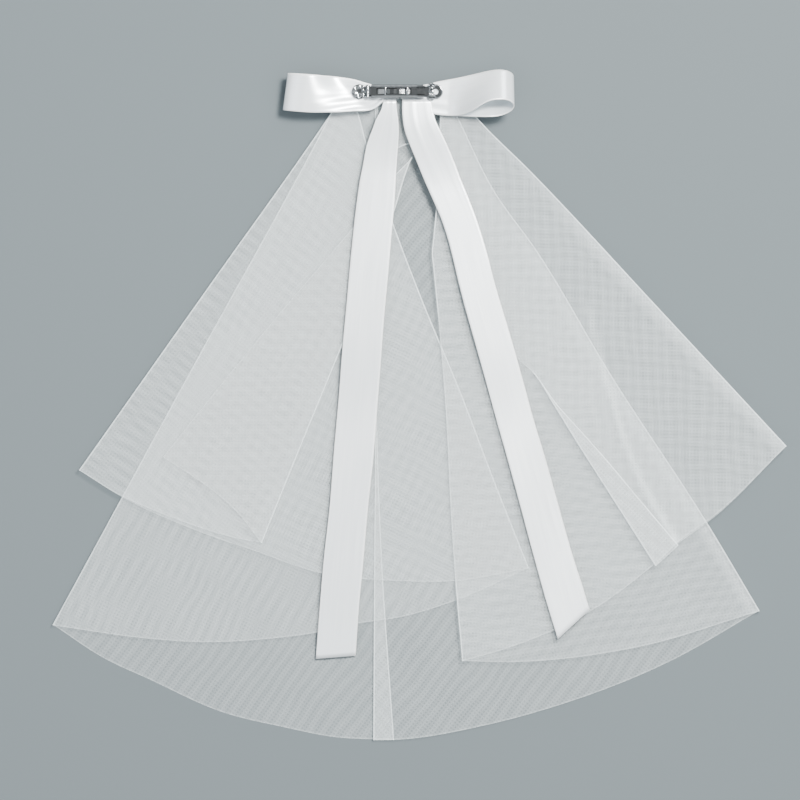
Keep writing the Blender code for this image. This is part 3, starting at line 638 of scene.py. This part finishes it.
# Bow loops: the same ribbon brought out from the pinched middle, round in a soft roll and back. The left
# loop lies nearly flat and the right one is turned so that its open side shows.
LOOP_ROWS = 44
ROLL_STEPS = 18
PINCH_LEVEL = 13.0 * MM - 0.15 * MM
LOOPS = {
    "bow_loop_left": {
        "side": -1.0, "reach": 73.5, "thickness": 12.0, "twist": -6.0, "slant": 3.2, "end_height": 12.85,
        "rises": ((17.0, 54.0), (41.0, 60.5)), "roll": 12.5, "pleat": 0.42,
        "sections": ((0.0, 0.32, 0.064), (0.12, 0.36, 0.05), (0.22, 0.60, -0.06), (0.41, 0.82, -0.024), (0.69, 0.94, 0.012), (1.0, 0.94, 0.07)),
    },
    "bow_loop_right": {
        "side": 1.0, "reach": 73.0, "thickness": 17.0, "twist": 38.0, "slant": 0.0, "end_height": 16.4,
        "rises": ((30.7, 61.0), (30.7, 61.0)), "roll": 11.5, "pleat": 0.12,
        "sections": ((0.0, 0.32, 0.064), (0.12, 0.40, -0.01), (0.21, 0.68, -0.1), (0.32, 0.83, -0.1), (0.54, 0.98, -0.06), (1.0, 1.0, 0.07)),
    },
}
UNDER_BARRETTE = 30.7 * MM
STRAND_GAP = 0.65 * MM


def loop_path(radius, roll_reach, turn, start, end):
    """The ribbon's middle from the pinch out below, round the roll and back above, as way out and height.

    Its lower strand opens from under the barrette to the roll, and its upper one between the two places given.
    """
    outs = np.linspace(0.5 * MM, turn, LOOP_ROWS + 1)
    roll = [math.pi * (step / ROLL_STEPS - 0.5) for step in range(1, ROLL_STEPS)]
    path = [(out, -mix(STRAND_GAP, radius, ease(out, UNDER_BARRETTE, turn))) for out in outs]
    path += [(turn + roll_reach * math.cos(angle), radius * math.sin(angle)) for angle in roll]
    return np.array(path + [(out, mix(STRAND_GAP, radius, ease(out, start, end))) for out in reversed(outs)])


def build_loop(name, side, reach, thickness, twist, slant, end_height, rises, roll, pleat, sections):
    reach, slant = reach * MM, slant * MM
    radius = (thickness - 1.0) / 2.0 * MM
    turn = reach - 0.5 * MM - roll * MM
    paths = []
    for cell in range(RIBBON_CELLS + 1):
        start, end = (mix(low, high, cell / RIBBON_CELLS) * MM for low, high in zip(*rises))
        paths.append(loop_path(radius, roll * MM, turn, start, min(end, turn)))
    path = paths[RIBBON_CELLS // 2]
    lengths = np.r_[0.0, np.cumsum(np.linalg.norm(np.diff(path, axis=0), axis=1))]
    points, plans = [], []
    for step, ((out, _), length) in enumerate(zip(path, lengths)):
        width, rise = smooth_line(sections, min(out / reach, 1.0)) * RIBBON_WIDTH
        eased = ease(out, UNDER_BARRETTE, 0.8 * reach)
        tilt = math.radians(twist) * eased
        middle = mix(PINCH_LEVEL, end_height * MM, eased)
        gathered = 0.25 * (1.0 - ease(out, 0.1 * reach, 0.5 * reach))
        gathered += pleat * ease(out, 0.2 * reach, 0.48 * reach) * (1.0 - ease(out, 0.5 * reach, 0.82 * reach))
        for cell in range(RIBBON_CELLS + 1):
            across = cell / RIBBON_CELLS - 0.5
            lower = 1.0 - ease(across, -0.25, 0.3)
            y = across * width
            wave = math.cos(6.0 * math.pi * across + 1.2 * out / (10.0 * MM))
            z = paths[cell][step][1] + gathered * lower * MM * wave
            points.append((
                -12.205 * MM + side * (out - slant * across * eased),
                198.56 * MM + rise + y * math.cos(tilt) + z * math.sin(tilt),
                middle + z * math.cos(tilt) - y * math.sin(tilt),
            ))
            plans.append(((across + 0.5) * RIBBON_WIDTH, length))
    columns = RIBBON_CELLS + 1
    faces = []
    for row in range(len(path) - 1):
        for cell in range(RIBBON_CELLS):
            corner = row * columns + cell
            face = (corner, corner + 1, corner + columns + 1, corner + columns)
            faces.append(face if side < 0 else face[::-1])
    corner_plans = [plans[corner] for face in faces for corner in face]
    return sheet_object(name, points, faces, corner_plans)


for name, facts in LOOPS.items():
    loop = build_loop(f"ribbon_{name}", **facts)
    apply_modifier(loop, "SOLIDIFY", thickness=RIBBON_WALL, offset=0.0)
    loop.data.materials.append(satin)
    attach(loop, "veil")
    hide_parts(name)

# Barrette: stamped spring steel with a bright nickel plate, sewn to the bow's middle by a ring at each end.
# The plate, the bar and the strip are the CAD nodes. The trim on them is pressed or riveted on.
STEEL_COLOUR = "#B9BCBE"
STEEL_SPOTS = "#8C9092"
BARRETTE_MIDDLE = 200.16 * MM
PLATE_TOP = 15.1 * MM
RING_PLACES = {"left": -38.21 * MM, "right": 10.59 * MM}


def steel_finish():
    """Bright nickel on stamped steel: mirror bright, with faint polishing marks and duller spots."""
    made, tree, shader = new_material("nickel_plated_steel")
    shader.inputs["Metallic"].default_value = 1.0
    place = add_node(tree, "ShaderNodeTexCoord").outputs["Object"]
    along = add_node(tree, "ShaderNodeMapping", {"Vector": place, "Scale": (300.0, 4000.0, 4000.0)}).outputs[0]
    marks = add_node(tree, "ShaderNodeTexNoise", {"Vector": along, "Scale": 1.0, "Detail": 3.0}).outputs["Fac"]
    spots = add_node(tree, "ShaderNodeTexNoise", {"Vector": place, "Scale": 350.0, "Detail": 2.0}).outputs["Fac"]
    rough = add_node(tree, "ShaderNodeMapRange", {"Value": marks, 3: 0.03, 4: 0.09}).outputs["Result"]
    rough = add_node(tree, "ShaderNodeMath", {0: spots, 1: 0.06, 2: rough}, operation="MULTIPLY_ADD").outputs[0]
    tree.links.new(rough, shader.inputs["Roughness"])
    dull = {"Factor": spots, 6: linear(STEEL_COLOUR), 7: linear(STEEL_SPOTS)}
    colour = add_node(tree, "ShaderNodeMix", dull, data_type="RGBA").outputs[2]
    tree.links.new(colour, shader.inputs["Base Color"])
    bump = add_node(tree, "ShaderNodeBump", {"Height": marks, "Strength": 0.1, "Distance": 0.02 * MM})
    tree.links.new(bump.outputs["Normal"], shader.inputs["Normal"])
    return made


steel = steel_finish()
for name in ("barrette_base", "locking_bar", "spring_strip"):
    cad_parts[name].data.materials[0] = steel


def start_piece(name, add, **settings):
    """Adds a primitive with nothing else selected, and opens it in edit mode."""
    bpy.ops.object.select_all(action="DESELECT")
    add(**settings)
    item = bpy.context.object
    item.name = item.data.name = name
    bpy.ops.object.mode_set(mode="EDIT")
    return item


def choose(item, wanted, kind="VERT"):
    """Selects in edit mode the vertices or faces whose middle the test wants."""
    bpy.ops.mesh.select_mode(type=kind)
    bpy.ops.mesh.select_all(action="DESELECT")
    form = bmesh.from_edit_mesh(item.data)
    for each in form.verts if kind == "VERT" else form.faces:
        middle = each.co if kind == "VERT" else each.calc_center_median()
        each.select_set(bool(wanted(item.matrix_world @ middle)))
    form.select_flush_mode()
    bmesh.update_edit_mesh(item.data)


def finish_piece(item, body, levels=2, smooth_degrees=40.0):
    """Closes edit mode, rounds the piece, puts its place in its mesh and has it ride on the body."""
    bpy.ops.mesh.select_all(action="SELECT")
    bpy.ops.mesh.remove_doubles(threshold=0.001 * MM)
    bpy.ops.mesh.normals_make_consistent(inside=False)
    bpy.ops.object.mode_set(mode="OBJECT")
    bpy.ops.object.transform_apply(location=True, rotation=True, scale=True)
    if levels:
        apply_modifier(item, "SUBSURF", levels=levels, render_levels=levels)
    bpy.ops.object.shade_smooth_by_angle(angle=math.radians(smooth_degrees))
    item.data.materials.clear()
    item.data.materials.append(steel)
    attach(item, body)


def mirrored(item, name, body):
    """A copy of the piece on the other side of the barrette's middle, with its own mesh."""
    copy = item.copy()
    copy.data = item.data.copy()
    copy.name = copy.data.name = name
    bpy.context.scene.collection.objects.link(copy)
    for vertex in copy.data.vertices:
        vertex.co.y = 2.0 * BARRETTE_MIDDLE - vertex.co.y
    copy.data.flip_normals()
    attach(copy, body)


def lift(amount, out=(0.0, 0.0, 1.0)):
    bpy.ops.transform.translate(value=Vector(out) * amount)


# Scalloped collar: a pressed rim of eight lobes round the eye at the hinge end, with a dished disc inside
# that covers the rivet. The valleys between its lobes are dark.
COLLAR_LOBES = 8
COLLAR_RADIUS = 4.9 * MM
VALLEY_SHARE = 0.68
COLLAR_WALL = 1.5 * MM
left_eye = Vector((RING_PLACES["left"], BARRETTE_MIDDLE, PLATE_TOP - 0.2 * MM))
collar = start_piece(
    "collar_scalloped", bpy.ops.mesh.primitive_circle_add, vertices=4 * COLLAR_LOBES, radius=COLLAR_RADIUS,
    fill_type="NGON", location=left_eye,
)


def in_valley(point):
    way = point - left_eye
    return round(math.atan2(way.x, way.y) / (math.pi / (2 * COLLAR_LOBES))) % 4 == 2


choose(collar, in_valley)
bpy.ops.transform.resize(value=(VALLEY_SHARE, VALLEY_SHARE, 1.0), center_override=left_eye)
bpy.ops.mesh.select_all(action="SELECT")
bpy.ops.mesh.inset(thickness=COLLAR_WALL)
choose(collar, lambda point: (point - left_eye).length < 0.5 * MM, "FACE")
bpy.ops.mesh.delete(type="FACE")
bpy.ops.mesh.select_all(action="SELECT")
bpy.ops.mesh.extrude_region_move(TRANSFORM_OT_translate={"value": (0.0, 0.0, 1.5 * MM)})
finish_piece(collar, "veil")
disc = start_piece(
    "collar_disc", bpy.ops.mesh.primitive_circle_add, vertices=24, radius=2.7 * MM, fill_type="NGON",
    location=left_eye,
)
bpy.ops.mesh.select_all(action="SELECT")
bpy.ops.mesh.extrude_region_move(TRANSFORM_OT_translate={"value": (0.0, 0.0, 1.0 * MM)})
choose(disc, lambda point: point.z > left_eye.z + 0.9 * MM, "FACE")
bpy.ops.mesh.inset(thickness=0.6 * MM)
lift(-0.2 * MM)
bpy.ops.mesh.inset(thickness=1.2 * MM)
lift(-0.15 * MM)
finish_piece(disc, "veil")

# Plain collar: a turned-up round rim at the eye of the clasp end.
right_eye = Vector((RING_PLACES["right"], BARRETTE_MIDDLE, PLATE_TOP - 0.2 * MM))
ring = start_piece(
    "collar_plain", bpy.ops.mesh.primitive_circle_add, vertices=24, radius=4.75 * MM, fill_type="NGON",
    location=right_eye,
)
bpy.ops.mesh.select_all(action="SELECT")
bpy.ops.mesh.inset(thickness=1.1 * MM)
choose(ring, lambda point: (point - right_eye).length < 0.5 * MM, "FACE")
bpy.ops.mesh.delete(type="FACE")
bpy.ops.mesh.select_all(action="SELECT")
bpy.ops.mesh.extrude_region_move(TRANSFORM_OT_translate={"value": (0.0, 0.0, 1.1 * MM)})
finish_piece(ring, "veil")

# Hinge pin heads: the ends of the pin, peened over outside the ears.
HINGE = Vector((-32.705, 200.16, 18.7)) * MM
head = start_piece(
    "pin_head_low", bpy.ops.mesh.primitive_cylinder_add, vertices=12, radius=0.95 * MM, depth=0.5 * MM,
    location=HINGE + Vector((0.0, -3.8 * MM, 0.0)), rotation=(math.radians(90.0), 0.0, 0.0),
)
choose(head, lambda point: point.y < HINGE.y - 3.9 * MM, "FACE")
bpy.ops.mesh.inset(thickness=0.35 * MM)
lift(0.25 * MM, (0.0, -1.0, 0.0))
finish_piece(head, "veil")
mirrored(head, "pin_head_high", "veil")

# Squeeze tabs: two round dished ears beside the clasp, leaning outwards, that a finger and thumb press
# together to let the bar go. Each has a foot on the plate.
TAB_MIDDLE = Vector((7.9, 200.16 - 3.5, 17.4)) * MM
TAB_LEAN = math.radians(38.0)
tab_out = Vector((0.0, -math.sin(TAB_LEAN), math.cos(TAB_LEAN)))
tab = start_piece(
    "clasp_tab_low", bpy.ops.mesh.primitive_cylinder_add, vertices=16, radius=2.5 * MM, depth=0.7 * MM,
    location=TAB_MIDDLE, rotation=(TAB_LEAN, 0.0, 0.0),
)
choose(tab, lambda point: (point - TAB_MIDDLE).dot(tab_out) > 0.3 * MM, "FACE")
bpy.ops.mesh.inset(thickness=0.5 * MM)
lift(0.25 * MM, tab_out)
bpy.ops.mesh.inset(thickness=0.5 * MM)
lift(-0.5 * MM, tab_out)
bpy.ops.mesh.inset(thickness=0.6 * MM)
lift(0.35 * MM, tab_out)
choose(tab, lambda point: (point - TAB_MIDDLE).dot(tab_out) < -0.3 * MM, "FACE")
bpy.ops.mesh.inset(thickness=1.2 * MM)
bpy.ops.mesh.extrude_region_move(TRANSFORM_OT_translate={"value": (0.0, 1.0 * MM, -1.9 * MM)})
finish_piece(tab, "veil")
mirrored(tab, "clasp_tab_high", "veil")

# Clasp rivet: a low dome that holds the clasp's spring to the plate between the tabs.
rivet = start_piece(
    "clasp_rivet", bpy.ops.mesh.primitive_cylinder_add, vertices=16, radius=1.5 * MM, depth=1.6 * MM,
    location=(8.2 * MM, BARRETTE_MIDDLE, PLATE_TOP + 0.6 * MM),
)
choose(rivet, lambda point: point.z > PLATE_TOP + 1.3 * MM, "FACE")
bpy.ops.mesh.inset(thickness=0.6 * MM)
lift(0.5 * MM)
finish_piece(rivet, "veil")

# Bar rims: the bar's long edges are rolled into half-round rims, which move with the bar.
BAR_ENDS = (-30.4 * MM, 2.6 * MM)
rim = start_piece(
    "bar_rim_low", bpy.ops.mesh.primitive_cylinder_add, vertices=12, radius=0.85 * MM,
    depth=BAR_ENDS[1] - BAR_ENDS[0], rotation=(0.0, math.radians(90.0), 0.0),
    location=(sum(BAR_ENDS) / 2.0, BARRETTE_MIDDLE - 3.35 * MM, 19.75 * MM),
)
for place in BAR_ENDS:
    choose(rim, lambda point: abs(point.x - place) < 0.1 * MM, "FACE")
    bpy.ops.mesh.inset(thickness=0.25 * MM)
finish_piece(rim, "bar")
mirrored(rim, "bar_rim_high", "bar")

# Cross ribs: two short ribs pressed across the bar at the ends of its slot.
RIB_PLACES = (-21.6 * MM, -7.5 * MM)
for number, place in enumerate(RIB_PLACES, 1):
    rib = start_piece(
        f"bar_rib_{number}", bpy.ops.mesh.primitive_cylinder_add, vertices=12, radius=0.55 * MM, depth=5.2 * MM,
        location=(place, BARRETTE_MIDDLE, 19.95 * MM), rotation=(math.radians(90.0), 0.0, 0.0),
    )
    for side in (-1.0, 1.0):
        choose(rib, lambda point: side * (point.y - BARRETTE_MIDDLE) > 2.5 * MM, "FACE")
        bpy.ops.mesh.inset(thickness=0.15 * MM)
    finish_piece(rib, "bar")

# Floor and light: a plain pale floor in a white room whose light is strongest high up on the right and
# weakest straight above, where the camera is, so steel and satin show light and dark. One soft lamp helps.
bpy.ops.mesh.primitive_plane_add(size=12.0, location=(0.0, 0.0, 0.0))
floor = bpy.context.object
floor.name = "floor"
floor_finish, floor_tree, floor_shader = new_material("matt_pale_floor")
floor_shader.inputs["Base Color"].default_value = linear("#5E6669")
floor_shader.inputs["Roughness"].default_value = 0.9
floor_shader.inputs["Specular IOR Level"].default_value = 0.2
floor.data.materials.append(floor_finish)

world = bpy.data.worlds.new("studio")
world.use_nodes = True
sky = world.node_tree
way = add_node(sky, "ShaderNodeTexCoord").outputs["Generated"]
parts = add_node(sky, "ShaderNodeSeparateXYZ", {"Vector": way})
rising = {"Value": parts.outputs["Z"], 1: 0.40, 2: 0.90, 3: 0.30, 4: 2.2}
glow = add_node(sky, "ShaderNodeMapRange", rising).outputs["Result"]
shade = {"Value": parts.outputs["Z"], 1: 0.935, 2: 0.982, 3: 1.0, 4: 0.12}
shade = add_node(sky, "ShaderNodeMapRange", shade, interpolation_type="SMOOTHSTEP").outputs["Result"]
glow = add_node(sky, "ShaderNodeMath", {0: glow, 1: shade}, operation="MULTIPLY").outputs[0]
lean = {"Value": parts.outputs["X"], 1: -0.6, 2: 0.6, 3: 0.45, 4: 1.55}
lean = add_node(sky, "ShaderNodeMapRange", lean).outputs["Result"]
glow = add_node(sky, "ShaderNodeMath", {0: glow, 1: lean}, operation="MULTIPLY").outputs[0]
sky.links.new(glow, sky.nodes["Background"].inputs["Strength"])
sky.nodes["Background"].inputs["Color"].default_value = linear("#EEF2F4")
bpy.context.scene.world = world
LAMPS = (
    ("key_lamp", (0.50, 0.62, 1.70), 0.4, 95.0, "#FFFEFB"),
    ("fill_lamp", (-1.1, -0.3, 1.2), 1.2, 10.0, "#EAF2FF"),
    ("low_window", (0.86, 1.94, 0.32), 0.6, 16.0, "#F6FAFF"),
)
for name, place, size, power, colour in LAMPS:
    bpy.ops.object.light_add(type="AREA", location=place)
    lamp = bpy.context.object
    lamp.name = name
    lamp.data.size = size
    lamp.data.energy = power
    lamp.data.color = linear(colour)[:3]
    lamp.rotation_euler = (-Vector(place)).to_track_quat("-Z", "Y").to_euler()
